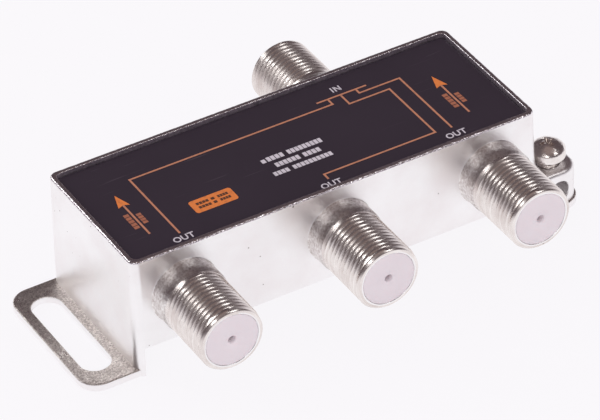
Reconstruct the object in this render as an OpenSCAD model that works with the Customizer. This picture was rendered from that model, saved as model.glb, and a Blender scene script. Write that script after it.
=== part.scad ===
// Three-way coaxial splitter in a die-cast box.
// Three threaded output sockets stand in front, one input socket behind, a slotted ear
// at each end, and a ground clamp with its screw on the right-hand ear.
// Millimetres. The ears' underside is z = 0, the printed face looks up, the outputs
// point along -Y, and the origin lies under the middle of the box.

/* [Housing] */
// Length of the box along its rim
body_l = 61.6; // [60:0.2:72]
// Depth of the box along its rim, front to back
body_d = 23.4; // [22.4:0.2:30]
// Height of the box from its open underside to its rim
box_h = 14; // [13.6:0.2:18]
// Height of the end walls below the box, which leaves room for the plug nuts
foot_h = 4.5; // [3.5:0.1:8]
// Lean of the cast walls in degrees
draft = 1.25; // [0.25:0.25:2]
// Thickness of the box walls
wall = 1.7; // [1.5:0.1:2.2]
// Thickness of the cast face under the printed plate
face_t = 1.4; // [1:0.1:1.8]
// Radius of the upright outer corners at the rim
corner_r = 1.2; // [0.8:0.1:2]
// Radius of the upright inner corners
inner_r = 0.9; // [0.5:0.1:1.5]

/* [Printed face] */
// Width of the rim round the printed plate
rim_w = 0.75; // [0.5:0.05:1.1]
// Height of the rim above the printed plate
rim_h = 0.65; // [0.3:0.05:1]
// Thickness of the printed plate
plate_t = 0.3; // [0.2:0.05:0.5]
// Gap between the printed plate and the rim
plate_gap = 0.1; // [0.05:0.05:0.2]

/* [Sockets] */
// Distance between neighbouring output sockets
port_pitch = 23.4; // [22:0.2:24]
// Place of the input socket along the box, from its middle
input_x = 11.7; // [8:0.1:12]
// Length of a socket from the rim line to its mouth
port_l = 12.6; // [11:0.1:16]
// Outer diameter of the socket thread
thread_d = 9.4; // [9.2:0.05:9.5]
// Pitch of the thread, 32 turns to the inch
thread_pitch = 0.794; // [0.75:0.002:0.85]
// Number of grooves cut into each socket
thread_turns = 9; // [5:1:10]
// Depth of the thread grooves
thread_depth = 0.45; // [0.2:0.05:0.5]
// Chamfer round the mouth of a socket
mouth_chamfer = 0.5; // [0.2:0.05:0.7]
// Plain ring between that chamfer and the first groove
thread_lead = 0.35; // [0.1:0.05:0.6]
// Fillet where a socket grows out of the wall
root_fillet = 0.9; // [0.4:0.1:1.2]

/* [Socket inserts] */
// Wall of a socket between the thread grooves and the white insulator
socket_wall = 0.4; // [0.3:0.05:0.8]
// Length of the insulator behind the mouth
insul_l = 9; // [7:0.1:10]
// Diameter of the insulator's spigot, which passes through the wall
spigot_d = 4.4; // [3.6:0.1:5]
// How far the spigot reaches past the wall into the box
spigot_out = 0.25; // [0.1:0.05:0.5]
// Diameter of the hole for the plug's centre wire
pin_hole_d = 1.1; // [0.9:0.05:1.3]
// Depth of that hole in front of the contact
pin_hole_l = 2; // [1.2:0.1:3]
// Diameter of the centre contact
contact_d = 2.4; // [2:0.1:2.8]
// Length of the two spring leaves of the contact
leaf_l = 5; // [3:0.1:6]
// Length of the contact's barrel
contact_l = 8; // [6.6:0.1:9]
// Width of the gap between the leaves
leaf_gap = 0.35; // [0.2:0.05:0.6]
// Diameter of the contact's tail
tail_d = 0.7; // [0.5:0.05:0.9]
// How far the tail reaches into the box from its wall
tail_reach = 2.9; // [1.5:0.1:3.5]
// Clearance round each insert
insert_gap = 0.02; // [0.01:0.01:0.05]

/* [Ears] */
// Reach of the ears past the foot of the end walls
ear_reach = 7.3; // [6.8:0.1:10]
// Thickness of the ears
ear_t = 1.2; // [1:0.1:2.4]
// How far the ears stay inside the foot of the front and back walls
ear_inset = 0.35; // [0:0.05:0.8]
// Radius of the ears' outer corners
ear_r = 3; // [1:0.1:3.4]
// Width of the slots
slot_w = 4.4; // [3.6:0.1:4.6]
// Strip of metal outside each slot
slot_rim = 1.6; // [1.2:0.1:2]
// Strip of metal at the ends of the slots
slot_end = 2.85; // [2:0.05:4]

/* [Ground clamp] */
// Height of the clamp post above the mounting plane
clamp_h = 6.5; // [6:0.1:9]
// Length of the post from front to back
clamp_l = 6.2; // [5:0.1:7]
// Step from the ear's edge to the post
clamp_step = 0.3; // [0.1:0.05:0.6]
// Diameter of the hole for the ground wire
wire_hole_d = 3; // [2.5:0.1:3.1]
// Height of that hole's axis above the mounting plane
wire_hole_z = 3.35; // [3.1:0.05:3.5]
// Diameter of the screw
screw_d = 3; // [2.5:0.1:3]
// Length of the screw below its head
screw_l = 2.6; // [2.2:0.05:2.6]
// Height of the head above the post, as the loose screw stands
screw_raise = 1.1; // [1:0.1:1.4]
// Clearance round the screw in the post
screw_gap = 0.05; // [0.03:0.01:0.1]
// Diameter of the screw head
head_d = 5; // [4.4:0.1:5.6]
// Height of the straight side of the head
head_side = 1.3; // [0.9:0.1:1.6]
// Height of the dome on the head
head_dome = 1.2; // [0.8:0.1:1.6]
// Width of the cross recess in the head
cross_w = 0.75; // [0.5:0.05:1]
// Length of the cross recess
cross_l = 2.8; // [2:0.1:3.4]
// Depth of the cross recess
cross_depth = 1.1; // [0.6:0.1:1.4]

/* [Back cover] */
// Thickness of the pressed cover
cover_t = 0.8; // [0.6:0.05:1]
// Depth of the cover behind the box's lower edge
cover_depth = 0.5; // [0.4:0.05:0.7]
// Width of the ledge that the cover sits on
ledge_w = 0.5; // [0.4:0.05:0.6]
// Gap between the cover and the walls
cover_gap = 0.12; // [0.08:0.02:0.2]
// Height of the cover's pressed middle
press_h = 0.4; // [0.2:0.05:0.5]
// Width of the cover's flat border
press_border = 3; // [2:0.1:4]
// Width of the solder seam on the cover
seam_w = 0.5; // [0.3:0.05:0.8]
// Height of the solder seam
seam_h = 0.3; // [0.15:0.05:0.38]

/* [Circuit board] */
// Thickness of the board
board_t = 1; // [0.8:0.1:1.6]
// Distance from the board's back edge to the middle of the rear row of parts
rear_row = 4.9; // [4.7:0.1:5.2]
// Distance from the board's back edge to the middle of the input choke
input_row = 3.4; // [2.8:0.1:3.6]
// Distance from the board's front edge to the middle of the front core
front_row = 4.8; // [4.6:0.1:5.1]
// Distance from the board's middle line to the middle row, towards the front
mid_row = 1.2; // [0.6:0.1:1.6]
// Distance from the input socket's axis to the first core of the rear row
core_clear = 7.2; // [6.8:0.1:7.8]
// Distance between the two cores of the rear row
core_step = 8; // [6.4:0.1:8.6]
// Distance from the input socket's axis to the second matching core
tap_shift = 1.9; // [1:0.1:2.1]
// Place of the front core along the board, from its middle
front_core_x = 5.6; // [5.2:0.1:6.4]
// Distance from a socket's axis to the choke beside it
choke_clear = 4.7; // [4.5:0.1:4.9]
// Distance from the first splitting core to its isolation resistor
resistor_clear = 5.1; // [4.6:0.1:6]
// Place of the second isolation resistor along the board, from its middle
resistor_x = -4.2; // [-5:0.1:-4]
// Distance from the board's front edge to the second isolation resistor
resistor_row = 6.1; // [5.9:0.1:6.6]
// Gap between the board and the walls
board_gap = 0.5; // [0.4:0.05:0.8]
// Diameter of the cast posts that the board rests on
post_d = 2.8; // [2:0.1:3.2]
// Width of a ferrite core across its two holes
core_w = 5; // [4.4:0.1:5.2]
// Height of a ferrite core
core_h = 2.8; // [2.2:0.1:3.2]
// Length of a ferrite core along its holes
core_l = 4; // [3:0.1:4.2]
// Distance between a core's holes
core_pitch = 2.2; // [1.8:0.1:2.4]
// Diameter of a core's holes
core_hole_d = 1.3; // [1.1:0.1:1.4]
// Gap between a core and the board
core_gap = 0.2; // [0.1:0.05:0.3]
// Diameter of the winding wire
wire_d = 0.24; // [0.16:0.02:0.28]
// Turns of wire through a core
wire_turns = 3; // [1:1:3]
// Diameter of a choke's drum core
choke_d = 4; // [3.4:0.1:4.2]
// Height of a choke's drum core
choke_h = 4; // [3:0.1:4.4]
// Thickness of the drum's two flanges
choke_flange = 0.8; // [0.5:0.1:1]
// Diameter of the drum's hub
choke_hub_d = 2; // [1.4:0.1:2.4]
// Diameter of the blocking capacitors
cap_d = 3.6; // [2.8:0.1:3.8]
// Thickness of the blocking capacitors
cap_t = 1.4; // [1:0.1:1.6]
// Distance between a capacitor's two leads
cap_pitch = 1.8; // [1.4:0.1:2.4]
// Gap between a capacitor and the board
cap_stand = 0.5; // [0.3:0.1:1]
// Length of the diodes' bodies
diode_l = 4.6; // [4:0.1:5]
// Diameter of the diodes' bodies
diode_d = 2.6; // [2:0.1:2.8]
// Length of the isolation resistors' bodies
resistor_l = 3.4; // [3:0.1:3.8]
// Diameter of the isolation resistors' bodies
resistor_d = 1.8; // [1.4:0.1:2]
// Gap between the board and a diode or resistor
axial_stand = 0.25; // [0.2:0.05:0.4]
// Length of the wider ends of a resistor
resistor_end = 0.85; // [0.5:0.05:1.2]
// Depth of its narrower middle
resistor_waist = 0.18; // [0.1:0.02:0.3]
// Diameter of the component leads
lead_d = 0.5; // [0.4:0.05:0.6]
// Radius of the bends in the leads
lead_bend = 0.5; // [0.4:0.05:0.8]

/* [Hidden] */
$fn = 64;
// Small overlap that makes a cut or a joint clean
eps = 0.05;

// Sockets: name, place along the box, and the side that they face
PORTS = [
    ["out_1", -port_pitch, -1],
    ["out_2", 0, -1],
    ["out_3", port_pitch, -1],
    ["in", input_x, 1]
];

// How far a cast wall has leaned outward at height z
function lean(z) = (rim_z - z) * tan(draft);

// Heights
rim_z = foot_h + box_h;
port_z = foot_h + box_h / 2;
plate_z = rim_z - rim_h;
ceiling_z = plate_z - plate_t - face_t;
cover_z = foot_h + cover_depth;
ledge_z = cover_z + cover_t;
board_z = port_z + tail_d / 2;

// Sockets, measured from the mouth into the box
port_r = thread_d / 2;
mouth_y = body_d / 2 + port_l;
wall_at = mouth_y - body_d / 2 - lean(port_z);
cavity_at = wall_at + wall;
insul_end = cavity_at + spigot_out;
thread_start = mouth_chamfer + thread_lead;
groove_w = 0.8 * thread_pitch;
groove_floor = 0.15 * thread_pitch;
insul_d = thread_d - 2 * (thread_depth + socket_wall);

// Box
foot_x = body_l / 2 + lean(0);
foot_y = body_d / 2 + lean(0);
mouth_wall = wall - ledge_w;

// Ears and clamp
ear_end = foot_x + ear_reach;
ear_half = foot_y - ear_inset;
slot_x = ear_end - slot_rim - slot_w / 2;
slot_y = ear_half - slot_end;
clamp_front = -ear_half + clamp_step;
clamp_back = clamp_front + clamp_l;
clamp_y = (clamp_front + clamp_back) / 2;
screw_z = clamp_h + screw_raise;

// Board
board_l = body_l - 2 * (wall + board_gap);
board_d = body_d - 2 * (wall + board_gap);
post_x = board_l / 2 - post_d / 2;
post_y = board_d / 2 - post_d / 2;

// Two-hole cores: name and place on the board
CORES = [
    ["matching_1", input_x - core_clear, board_d / 2 - rear_row],
    ["splitting_1", input_x - core_clear - core_step, board_d / 2 - rear_row],
    ["matching_2", input_x + tap_shift, -mid_row],
    ["splitting_2", front_core_x, front_row - board_d / 2]
];
// Chokes, diodes and resistors: name, place on the board, and turn in degrees
CHOKES = [
    ["out_1", choke_clear - port_pitch, -mid_row],
    ["in", input_x + choke_clear, board_d / 2 - input_row],
    ["out_3", port_pitch - choke_clear, -mid_row]
];
DIODES = [
    ["out_1", -port_pitch, board_d / 2 - rear_row, 0],
    ["out_3", port_pitch, board_d / 2 - rear_row, 0]
];
RESISTORS = [
    ["1", input_x - core_clear - core_step - resistor_clear, -mid_row, 90],
    ["2", resistor_x, resistor_row - board_d / 2, 0]
];

// Box with leaning sides: flat walls, and a cone in each corner. The length l, depth d
// and corner radius r hold at the height of the rim.
module drafted_block(l, d, r, z0, z1) {
    h = z1 - z0;
    translate([0, 0, z0]) {
        rotate([90, 0, 0])
            linear_extrude(d - 2 * r, center = true) wedge(l / 2, h, z0, z1);
        rotate([90, 0, 90])
            linear_extrude(l - 2 * r, center = true) wedge(d / 2, h, z0, z1);
        for (sx = [-1, 1], sy = [-1, 1])
            translate([sx * (l / 2 - r), sy * (d / 2 - r), 0])
                cylinder(r1 = r + lean(z0), r2 = r + lean(z1), h = h);
    }
}

module wedge(half, h, z0, z1) {
    low = half + lean(z0);
    high = half + lean(z1);
    polygon([[-low, 0], [low, 0], [high, h], [-high, h]]);
}

module rounded_rect(l, d, r) {
    square([l - 2 * r, d], center = true);
    square([l, d - 2 * r], center = true);
    for (sx = [-1, 1], sy = [-1, 1])
        translate([sx * (l / 2 - r), sy * (d / 2 - r)]) circle(r);
}

// Places its children at a socket, with +Z pointing from the mouth into the box
module at_port(p) {
    translate([p[1], p[2] * mouth_y, port_z]) rotate([p[2] * 90, 0, 0]) children();
}

// Places its children on the board's lower side, with +Z pointing away from the board
module on_board(c, turn = 0) {
    translate([c[1], c[2], board_z]) rotate([180, 0, turn]) children();
}

// Outline of a socket from its axis outward: chamfered mouth, grooves, plain shank
module socket_profile() {
    root_r = port_r - thread_depth;
    slope = (groove_w - groove_floor) / 2;
    shank_end = cavity_at - wall / 2;
    grooves = [
        for (i = [0:thread_turns - 1], k = [0:3])
            let (h = thread_start + i * thread_pitch)
            [[port_r, h], [root_r, h + slope], [root_r, h + slope + groove_floor],
                [port_r, h + groove_w]][k]
    ];
    polygon(concat(
        [[0, 0], [port_r - mouth_chamfer, 0], [port_r, mouth_chamfer]],
        grooves,
        [[port_r, shank_end], [0, shank_end]]
    ));
    difference() {
        translate([port_r - eps, wall_at - root_fillet])
            square([root_fillet + eps, shank_end - wall_at + root_fillet]);
        translate([port_r + root_fillet, wall_at - root_fillet]) circle(root_fillet);
    }
}

// Outline of the ear at the +X end, and of the clamp post when it is drawn inside it
module ear_outline(inset = 0) {
    r = ear_r - inset;
    end = ear_end - inset;
    half = ear_half - inset;
    translate([foot_x - mouth_wall / 2, -half]) square([end - r - foot_x + mouth_wall / 2, 2 * half]);
    translate([foot_x - mouth_wall / 2, r - half])
        square([end - foot_x + mouth_wall / 2, 2 * (half - r)]);
    for (s = [-1, 1]) translate([end - r, s * (half - r)]) circle(r);
}

// Slot along Y between two ends
module slot(y0, y1) {
    r = slot_w / 2;
    translate([slot_x - r, y0 + r]) square([slot_w, y1 - y0 - slot_w]);
    for (y = [y0 + r, y1 - r]) translate([slot_x, y]) circle(r);
}

module ears() {
    mirror([1, 0, 0]) linear_extrude(ear_t)
        difference() {
            ear_outline();
            slot(-slot_y, slot_y);
        }
    linear_extrude(ear_t)
        difference() {
            ear_outline();
            slot(clamp_back + slot_rim, slot_y);
        }
}

module clamp_post() {
    linear_extrude(clamp_h)
        intersection() {
            ear_outline(clamp_step);
            translate([foot_x - mouth_wall / 2, clamp_front])
                square([ear_end - foot_x + mouth_wall, clamp_l]);
        }
}

module housing() {
    color("silver")
    difference() {
        union() {
            difference() {
                drafted_block(body_l, body_d, corner_r, 0, rim_z);
                // room between the end walls, under the box
                drafted_block(body_l - 2 * mouth_wall, 2 * body_d, inner_r, -eps, foot_h);
                // mouth of the box, down to the ledge that the cover sits on
                drafted_block(body_l - 2 * mouth_wall, body_d - 2 * mouth_wall, inner_r,
                    foot_h - eps, ledge_z);
                // inside of the box
                drafted_block(body_l - 2 * wall, body_d - 2 * wall, inner_r,
                    ledge_z - eps, ceiling_z);
                // recess for the printed plate
                translate([0, 0, plate_z - plate_t]) linear_extrude(rim_h + plate_t + eps)
                    rounded_rect(body_l - 2 * rim_w, body_d - 2 * rim_w, corner_r - rim_w / 2);
            }
            for (p = PORTS) at_port(p) rotate_extrude() socket_profile();
            for (sx = [-1, 1], sy = [-1, 1])
                translate([sx * post_x, sy * post_y, board_z + board_t])
                    cylinder(d = post_d, h = ceiling_z - board_z - board_t + eps);
            ears();
            clamp_post();
        }
        for (p = PORTS) at_port(p) {
            translate([0, 0, -eps]) cylinder(d = insul_d + 2 * insert_gap, h = insul_l + eps);
            cylinder(d = spigot_d + 2 * insert_gap, h = insul_end + eps);
        }
        translate([slot_x, clamp_front - eps, wire_hole_z]) rotate([-90, 0, 0])
            cylinder(d = wire_hole_d, h = clamp_l + 2 * eps);
        translate([slot_x, clamp_y, wire_hole_z])
            cylinder(d = screw_d + 2 * screw_gap, h = clamp_h);
    }
}

module face_plate() {
    color("#2e2830")
    translate([0, 0, plate_z - plate_t]) linear_extrude(plate_t)
        rounded_rect(body_l - 2 * (rim_w + plate_gap), body_d - 2 * (rim_w + plate_gap),
            corner_r - rim_w / 2);
}

module back_cover() {
    spare = mouth_wall + cover_gap;
    color("gainsboro")
    difference() {
        union() {
            drafted_block(body_l - 2 * spare, body_d - 2 * spare, inner_r, cover_z, ledge_z);
            translate([0, 0, cover_z + press_h]) linear_extrude(cover_t)
                rounded_rect(body_l - 2 * (spare + press_border),
                    body_d - 2 * (spare + press_border), corner_r);
        }
        translate([0, 0, cover_z - eps]) linear_extrude(press_h + eps)
            rounded_rect(body_l - 2 * (spare + press_border + cover_t),
                body_d - 2 * (spare + press_border + cover_t), corner_r);
    }
}

module cover_seam() {
    edge = mouth_wall + insert_gap;
    color("lightgray")
    difference() {
        drafted_block(body_l - 2 * edge, body_d - 2 * edge, inner_r, cover_z - seam_h, cover_z);
        drafted_block(body_l - 2 * (edge + seam_w), body_d - 2 * (edge + seam_w), inner_r,
            cover_z - seam_h - eps, cover_z + eps);
    }
}

module ground_screw() {
    head_r = head_d / 2;
    dome_r = (head_r * head_r + head_dome * head_dome) / (2 * head_dome);
    color("lightgray")
    translate([slot_x, clamp_y, screw_z])
    difference() {
        union() {
            translate([0, 0, -screw_l]) cylinder(d = screw_d, h = screw_l + eps);
            cylinder(r = head_r, h = head_side);
            intersection() {
                translate([0, 0, head_side - eps]) cylinder(r = head_r, h = head_dome + 2 * eps);
                translate([0, 0, head_side + head_dome - dome_r]) sphere(dome_r);
            }
        }
        for (turn = [0, 90])
            rotate([0, 0, turn])
                translate([-cross_l / 2, -cross_w / 2, head_side + head_dome - cross_depth])
                    cube([cross_l, cross_w, cross_depth + eps]);
    }
}

module insulator(p) {
    color("#ded6db")
    at_port(p)
    difference() {
        union() {
            cylinder(d = insul_d, h = insul_l);
            cylinder(d = spigot_d, h = insul_end);
        }
        translate([0, 0, -eps]) cylinder(d = pin_hole_d, h = pin_hole_l + 2 * eps);
        translate([0, 0, pin_hole_l])
            cylinder(d = contact_d + 2 * insert_gap, h = insul_end - pin_hole_l + eps);
    }
}

// Turned contact: two spring leaves grip the plug's wire, and the tail lies on the board
module contact(p) {
    color("gold")
    at_port(p) translate([0, 0, pin_hole_l]) {
        difference() {
            cylinder(d = contact_d, h = contact_l);
            translate([0, 0, -eps]) cylinder(d = pin_hole_d, h = leaf_l + eps);
            translate([-contact_d, -leaf_gap / 2, -eps])
                cube([2 * contact_d, leaf_gap, leaf_l + eps]);
        }
        cylinder_from(contact_l - eps, cavity_at + tail_reach - pin_hole_l, tail_d);
    }
}

module cylinder_from(z0, z1, d) {
    translate([0, 0, z0]) cylinder(d = d, h = z1 - z0);
}

module circuit_board() {
    color("seagreen")
    translate([0, 0, board_z]) linear_extrude(board_t) rounded_rect(board_l, board_d, inner_r);
}

module core_section() {
    square([core_w - core_h, core_h], center = true);
    for (s = [-1, 1]) translate([s * (core_w - core_h) / 2, 0]) circle(d = core_h);
}

module two_hole_core(c) {
    color("dimgray")
    on_board(c) translate([0, 0, core_gap + core_h / 2]) rotate([90, 0, 0])
        linear_extrude(core_l, center = true)
            difference() {
                core_section();
                for (s = [-1, 1]) translate([s * core_pitch / 2, 0]) circle(d = core_hole_d);
            }
}

// Turns of wire through both holes of a core, with a lead to the board at each end
module core_winding(c) {
    mid_z = core_gap + core_h / 2;
    turn_end = core_l / 2 + wire_d;
    step = (core_hole_d - wire_d) / 3;
    color("chocolate")
    on_board(c) {
        for (i = [0:wire_turns - 1], s = [-1, 1])
            translate([0, 0, mid_z + (i - (wire_turns - 1) / 2) * step]) {
                translate([s * core_pitch / 2, turn_end, 0]) rotate([90, 0, 0])
                    cylinder(d = wire_d, h = 2 * turn_end);
                translate([0, s * turn_end, 0]) rotate([0, 0, s > 0 ? 0 : 180])
                    rotate_extrude(angle = 180) translate([core_pitch / 2, 0]) circle(d = wire_d);
            }
        for (s = [-1, 1])
            translate([0, s * (turn_end + core_pitch / 2), 0])
                cylinder(d = wire_d, h = mid_z + (wire_turns - 1) / 2 * step);
    }
}

// Spool of ferrite with a flange at each end
module choke_core(c) {
    color("dimgray")
    on_board(c) {
        cylinder(d = choke_d, h = choke_flange);
        cylinder(d = choke_hub_d, h = choke_h);
        cylinder_from(choke_h - choke_flange, choke_h, choke_d);
    }
}

// Wire wound on the spool, layer beside layer
module choke_winding(c) {
    room = choke_h - 2 * choke_flange;
    count = floor(room / (2 * wire_d));
    coil_in = choke_hub_d / 2 + insert_gap;
    coil_out = choke_d / 2 - 2 * wire_d;
    color("chocolate")
    on_board(c) rotate_extrude() {
        translate([coil_in, choke_flange]) square([coil_out - coil_in, room]);
        for (i = [0:count - 1])
            translate([coil_out, choke_flange + (i + 0.5) * room / count]) circle(d = wire_d);
    }
}

// Body along X, wider at its ends, with a lead at each end that bends to the board
module axial_part(body_len, body_dia, end_dia, end_l) {
    mid = end_dia / 2 + axial_stand;
    half = body_len / 2;
    bend_x = half + lead_bend;
    translate([0, 0, mid]) rotate([0, 90, 0]) {
        cylinder(d = body_dia, h = body_len, center = true);
        if (end_l > 0)
            for (s = [-1, 1])
                translate([0, 0, s * (half - end_l / 2)])
                    cylinder(d = end_dia, h = end_l, center = true);
        cylinder(d = lead_d, h = 2 * bend_x, center = true);
    }
    for (s = [0, 1]) mirror([s, 0, 0]) translate([bend_x, 0, mid - lead_bend]) {
        rotate([90, 0, 0]) rotate_extrude(angle = 90) translate([lead_bend, 0]) circle(d = lead_d);
        translate([lead_bend, 0, lead_bend - mid]) cylinder(d = lead_d, h = mid - lead_bend);
    }
}

module diode(d) {
    color("#202020") on_board(d, d[3]) axial_part(diode_l, diode_d, diode_d, 0);
}

module isolation_resistor(r) {
    color("tan")
    on_board(r, r[3]) axial_part(resistor_l, resistor_d - 2 * resistor_waist, resistor_d, resistor_end);
}

// Upright disc capacitor beside the tail of its contact, on two leads
module capacitor(p) {
    y = p[2] * (body_d / 2 - wall - tail_reach - cap_t - lead_d);
    color("peru")
    on_board([p[0], p[1], y]) {
        translate([0, 0, cap_stand + cap_d / 2]) rotate([90, 0, 0])
            cylinder(d = cap_d, h = cap_t, center = true);
        for (s = [-1, 1]) translate([s * cap_pitch / 2, 0, 0])
            cylinder(d = lead_d, h = cap_stand + cap_d / 2);
    }
}

housing();
face_plate();
back_cover();
cover_seam();
ground_screw();
circuit_board();
for (p = PORTS) insulator(p);
for (p = PORTS) contact(p);
for (p = PORTS) capacitor(p);
for (c = CORES) two_hole_core(c);
for (c = CORES) core_winding(c);
for (c = CHOKES) choke_core(c);
for (c = CHOKES) choke_winding(c);
for (d = DIODES) diode(d);
for (r = RESISTORS)
    isolation_resistor(r);
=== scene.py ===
# Looks of a three-way coaxial splitter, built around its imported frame. Sizes are in
# millimetres and become metres where a mesh is made. +Z is up through the printed face.
import math

import bpy
import numpy as np
from mathutils import Matrix, Vector


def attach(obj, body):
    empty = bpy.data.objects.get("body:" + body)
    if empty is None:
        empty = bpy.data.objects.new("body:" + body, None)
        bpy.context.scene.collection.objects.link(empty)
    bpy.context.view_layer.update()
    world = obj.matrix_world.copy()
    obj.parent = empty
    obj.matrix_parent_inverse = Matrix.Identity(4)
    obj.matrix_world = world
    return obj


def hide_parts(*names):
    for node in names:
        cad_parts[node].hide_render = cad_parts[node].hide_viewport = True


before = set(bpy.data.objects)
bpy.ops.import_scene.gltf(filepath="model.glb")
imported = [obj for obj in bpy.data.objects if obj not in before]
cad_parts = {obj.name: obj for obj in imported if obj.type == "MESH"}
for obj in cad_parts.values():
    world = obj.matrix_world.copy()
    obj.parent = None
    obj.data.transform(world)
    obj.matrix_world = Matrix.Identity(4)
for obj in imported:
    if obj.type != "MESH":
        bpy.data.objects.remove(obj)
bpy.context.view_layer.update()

# Housing: box, ears and clamp post
# One zinc die casting with leaning walls, a rim round the printed face, and end walls that run
# down past the box as feet. Two slotted ears screw it down, and a drilled post on the right ear
# clamps a ground wire. Four small posts inside hold the circuit board off the ceiling.
MM = 0.001
body_l = 61.6
body_d = 23.4
rim_z = 18.5
under_z = 4.5
draft = 1.25
wall = 1.7
mouth_wall = 1.2
corner_r = 1.2
inner_r = 0.9
rim_w = 0.75
recess_z = 17.55
ceiling_z = 16.15
ledge_z = 5.8
mouth_lead = 0.12
over = 0.05   # overlap of solids that are joined
past = 1      # how far a cutter runs out of the metal


def ring_solid(name, rings, loop=False):
    """Closed solid through rings of points; with loop the last ring joins the first."""
    count = len(rings[0])
    points = np.array(rings, float).reshape(-1, 3) * MM
    faces = []
    for k in range(len(rings) if loop else len(rings) - 1):
        a = k * count
        b = (k + 1) % len(rings) * count
        faces += [(a + i, a + (i + 1) % count, b + (i + 1) % count, b + i) for i in range(count)]
    if not loop:
        faces.append(tuple(reversed(range(count))))
        faces.append(tuple(range(len(points) - count, len(points))))
    mesh = bpy.data.meshes.new(name)
    mesh.from_pydata(points.tolist(), [], faces)
    solid = bpy.data.objects.new(name, mesh)
    bpy.context.scene.collection.objects.link(solid)
    return solid


def arc(cx, cy, r, start, end, steps=8):
    """Points of an arc from one angle to another, in degrees."""
    angles = [math.radians(start + (end - start) * k / steps) for k in range(steps + 1)]
    return [(cx + r * math.cos(a), cy + r * math.sin(a)) for a in angles]


def lean(z):
    """How far a cast wall has leaned outward at height z."""
    return (rim_z - z) * math.tan(math.radians(draft))


def wall_ring(l, d, r, z, grow=0.0):
    """Rounded rectangle, l by d with corners r, round the box at height z."""
    x = l / 2 + grow
    y = d / 2 + grow
    r = r + grow
    flat = arc(x - r, r - y, r, -90, 0) + arc(x - r, y - r, r, 0, 90)
    flat += arc(r - x, y - r, r, 90, 180) + arc(r - x, r - y, r, 180, 270)
    return [(px, py, z) for px, py in flat]


def soft_end(size, z, up):
    """Steps (inset, z) of a rounded edge at z: up is 1 for an upper edge and -1 for a lower."""
    turns = [math.radians(22.5 * k) for k in range(5)]
    steps = [(size * (1 - math.cos(t)), z - up * size * (1 - math.sin(t))) for t in turns]
    return steps if up > 0 else steps[::-1]


def apply_modifiers(piece):
    """Turns the piece's modifiers into its mesh."""
    seen = piece.evaluated_get(bpy.context.evaluated_depsgraph_get())
    mesh = bpy.data.meshes.new_from_object(seen)
    piece.modifiers.clear()
    piece.data = mesh


def combine(piece, other, operation, solver="EXACT"):
    """Joins another solid to the piece, or cuts it out."""
    join = piece.modifiers.new(operation, "BOOLEAN")
    join.operation = operation
    join.solver = solver
    join.object = other
    apply_modifiers(piece)
    bpy.data.objects.remove(other)


def wall_block(name, l, d, r, steps):
    """Solid between leaning walls; steps are (inset, z) from low to high."""
    return ring_solid(name, [wall_ring(l, d, r, z, lean(z) - inset) for inset, z in steps])


edge_r = 0.22
rim_outer_r = 0.3
housing = wall_block("housing_casting", body_l, body_d, corner_r,
                     soft_end(edge_r, 0, -1) + soft_end(rim_outer_r, rim_z, 1))
# From below: the gap between the feet, the cover's mouth with its lead-in, and the circuit's room
cuts = (
    (body_l - 2 * mouth_wall, 2 * body_d, inner_r, [(0, -past), (0, under_z)]),
    (body_l - 2 * mouth_wall, body_d - 2 * mouth_wall, inner_r,
     [(-mouth_lead, under_z - past), (-mouth_lead, under_z), (0, under_z + mouth_lead),
      (0, ledge_z)]),
    (body_l - 2 * wall, body_d - 2 * wall, inner_r, [(0, ledge_z - over), (0, ceiling_z)]))
for l, d, r, steps in cuts:
    combine(housing, wall_block("cut", l, d, r, steps), "DIFFERENCE")
rim_edge = 0.14
recess_steps = [(0, recess_z), (0, rim_z - rim_edge)]
recess_steps += [(-rim_edge * (1 - math.cos(t)), rim_z - rim_edge * (1 - math.sin(t)))
                 for t in np.radians((30, 60, 90))] + [(-rim_edge, rim_z + past)]
recess = [wall_ring(body_l - 2 * rim_w, body_d - 2 * rim_w, corner_r - rim_w / 2, z, -inset)
          for inset, z in recess_steps]
combine(housing, ring_solid("recess", recess), "DIFFERENCE")

board_posts = (27.2, 8.1)
board_post_r = 1.4
board_top = 12.85
for x in (-board_posts[0], board_posts[0]):
    for y in (-board_posts[1], board_posts[1]):
        flat = arc(x, y, board_post_r, 0, 350, 35)
        post = ring_solid("board_post", [
            [(px, py, z) for px, py in flat] for z in (board_top, ceiling_z + over)])
        combine(housing, post, "UNION")

ear_end = 38.503
ear_half = 11.754
ear_root = 30.6
ear_r = 3
ear_t = 1.2
slot_x = 34.704
slot_y = 8.904
slot_r = 2.2
right_slot_front = -3.654


def place_ring(flat, z, side=1):
    """Ring at height z, mirrored to the other end of the box where side is -1."""
    return [(side * x, y, z) for x, y in (flat if side > 0 else flat[::-1])]


def ear_outline(inset):
    """Outline of the right-hand ear, set in by the inset all round."""
    x = ear_end - ear_r
    y = ear_half - ear_r
    return ([(ear_root, inset - ear_half)] + arc(x, -y, ear_r - inset, -90, 0)
            + arc(x, y, ear_r - inset, 0, 90) + [(ear_root, ear_half - inset)])


def slot_outline(front, grow):
    """Outline of an ear's slot that starts at front, grown all round."""
    return (arc(slot_x, slot_y - slot_r, slot_r + grow, 0, 180, 16)
            + arc(slot_x, front + slot_r, slot_r + grow, 180, 360, 16))


slot_edge = 0.18
slot_turn = slot_edge * 0.3
slot_steps = ((slot_edge, -past), (slot_edge, 0), (slot_turn, slot_turn), (0, slot_edge),
              (0, ear_t - slot_edge), (slot_turn, ear_t - slot_turn),
              (slot_edge, ear_t), (slot_edge, ear_t + past))
for side in (-1, 1):
    steps = soft_end(edge_r, 0, -1) + soft_end(edge_r, ear_t, 1)
    ear = ring_solid("ear", [place_ring(ear_outline(inset), z, side) for inset, z in steps])
    combine(housing, ear, "UNION")
    front = right_slot_front if side > 0 else -slot_y
    slot = [place_ring(slot_outline(front, grow), z, side) for grow, z in slot_steps]
    combine(housing, ring_solid("slot", slot), "DIFFERENCE")

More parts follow.
